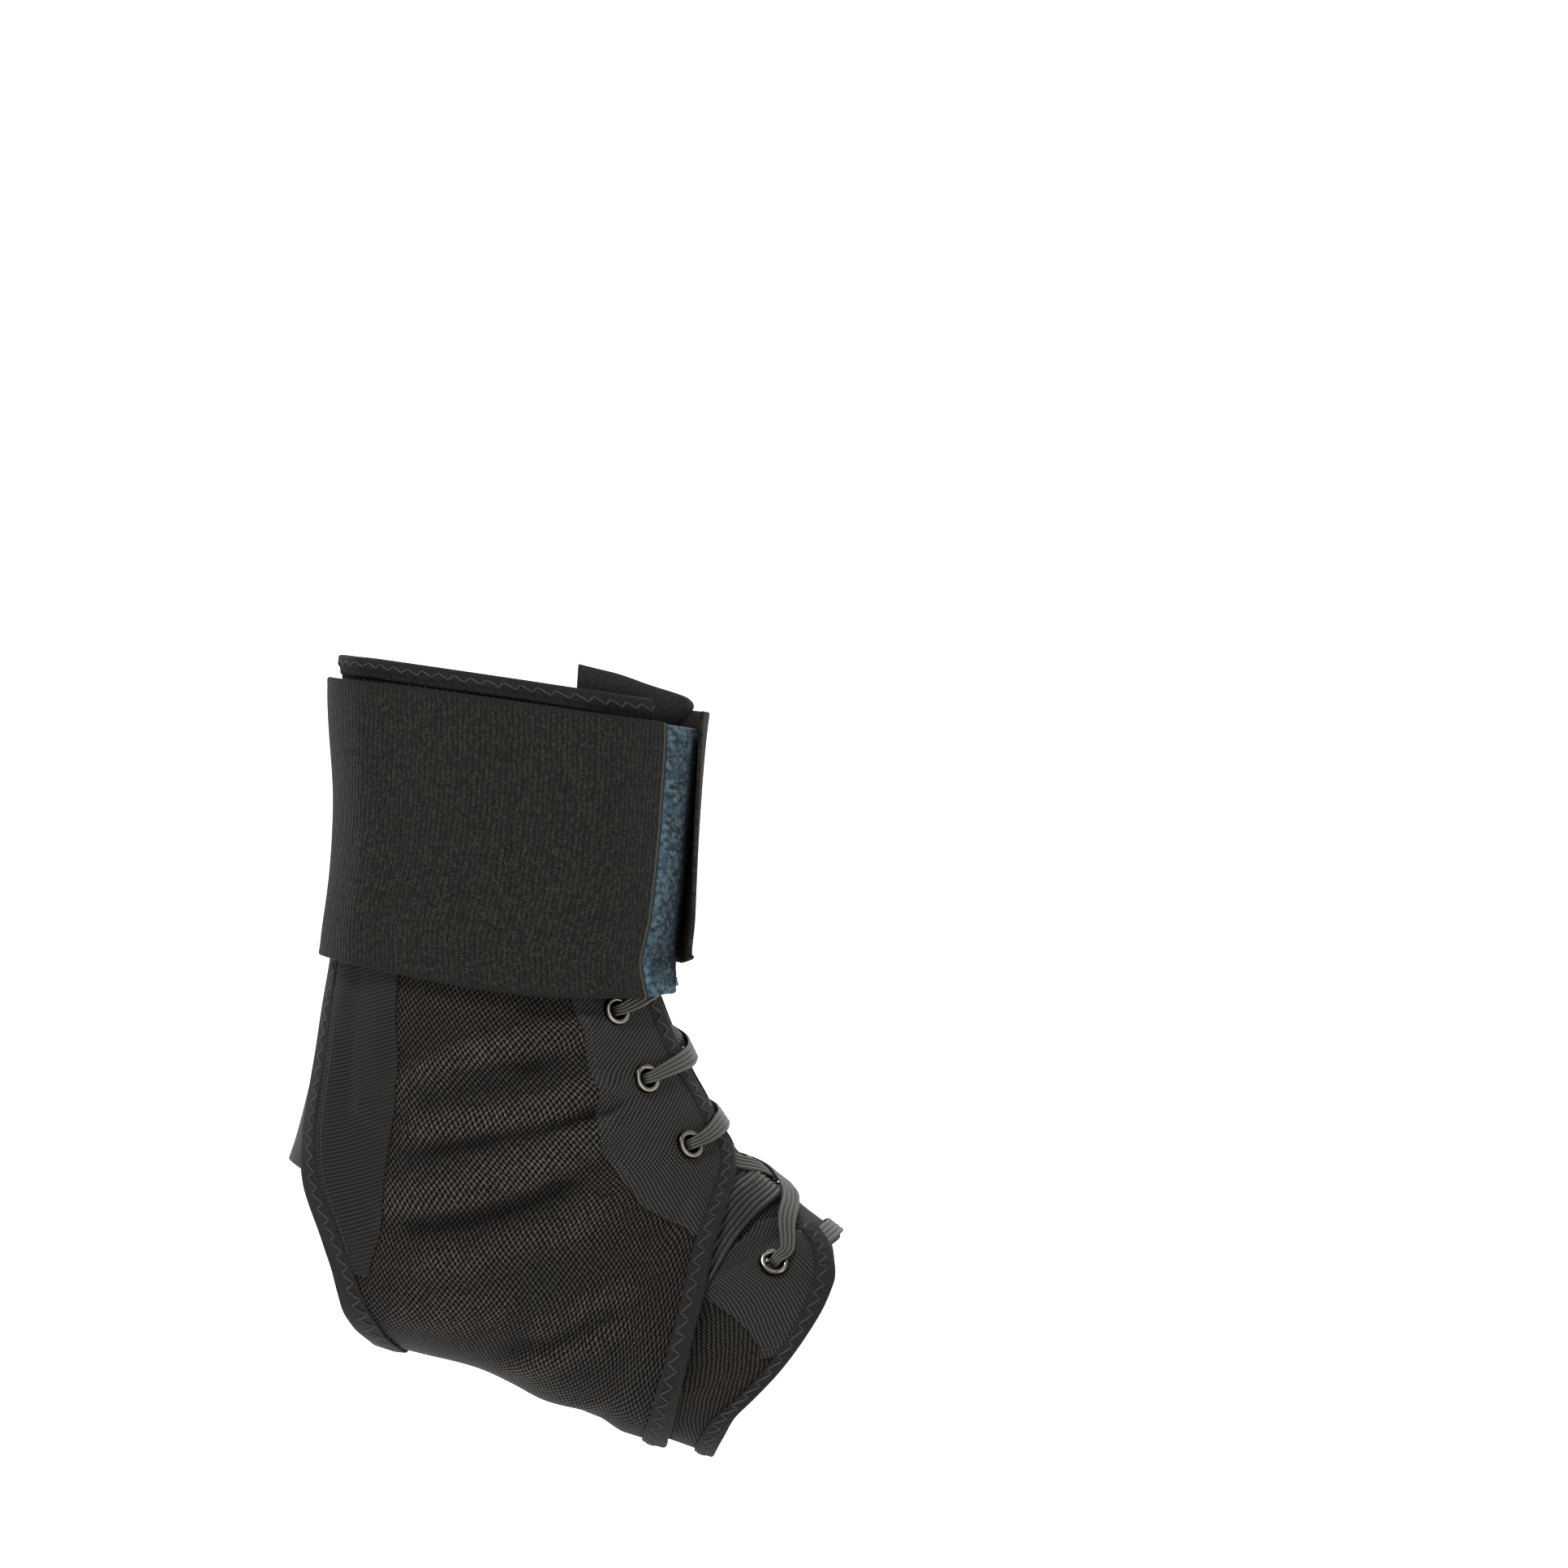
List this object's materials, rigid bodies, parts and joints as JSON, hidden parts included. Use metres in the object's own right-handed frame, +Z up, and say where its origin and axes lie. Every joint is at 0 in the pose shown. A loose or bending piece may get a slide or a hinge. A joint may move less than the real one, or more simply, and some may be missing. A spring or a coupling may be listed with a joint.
{
  "type": "lace-up ankle brace",
  "caption": "Black lace-up ankle brace of mesh fabric in its worn form, with bound edges, metal eyelets, a flat lace and a wide elastic wrap closed on blue loop pile.",
  "frame": {"origin": "middle of the ankle, halfway between the two ankle bones of the wearer", "axes": "X towards the toes, Y away from the viewer of the side view, Z up along the leg"},
  "size_m": [0.1521, 0.0876, 0.2188],
  "materials": {
    "mesh_fabric": "open black warp knit, matt",
    "binding_tape": "smooth folded tape, zigzag stitched",
    "band_elastic": "ribbed woven elastic, matt",
    "plain_elastic": "ribbed elastic, slight sheen",
    "patch_fabric": "dense woven nylon",
    "tongue_fabric": "foam-backed jersey, matt",
    "lace_fabric": "flat woven lace",
    "loop_pile": "fuzzy loop pile",
    "eyelet_metal": "darkened rolled metal"
  },
  "bodies": {
    "root": {"tongue": "tongue_fabric", "ankle_shell": "mesh_fabric", "forefoot_panel": "mesh_fabric", "back_elastic": "plain_elastic", "instep_elastic": "plain_elastic", "front_binding": "binding_tape", "heel_binding": "binding_tape", "forefoot_binding": "binding_tape", "top_binding_near": "binding_tape", "top_binding_far": "binding_tape", "eyelet_patch_near": "patch_fabric", "forefoot_patch_near": "patch_fabric", "stay_pocket_near": "patch_fabric", "eyelet_near_1": "eyelet_metal", "eyelet_near_2": "eyelet_metal", "eyelet_near_3": "eyelet_metal", "eyelet_near_4": "eyelet_metal", "eyelet_near_5": "eyelet_metal", "eyelet_near_6": "eyelet_metal", "eyelet_patch_far": "patch_fabric", "forefoot_patch_far": "patch_fabric", "stay_pocket_far": "patch_fabric", "eyelet_far_1": "eyelet_metal", "eyelet_far_2": "eyelet_metal", "eyelet_far_3": "eyelet_metal", "eyelet_far_4": "eyelet_metal", "eyelet_far_5": "eyelet_metal", "eyelet_far_6": "eyelet_metal", "lace": "lace_fabric", "elastic_wrap": "band_elastic", "loop_patch": "loop_pile", "hook_tab": "band_elastic"}
  },
  "joints": []
}
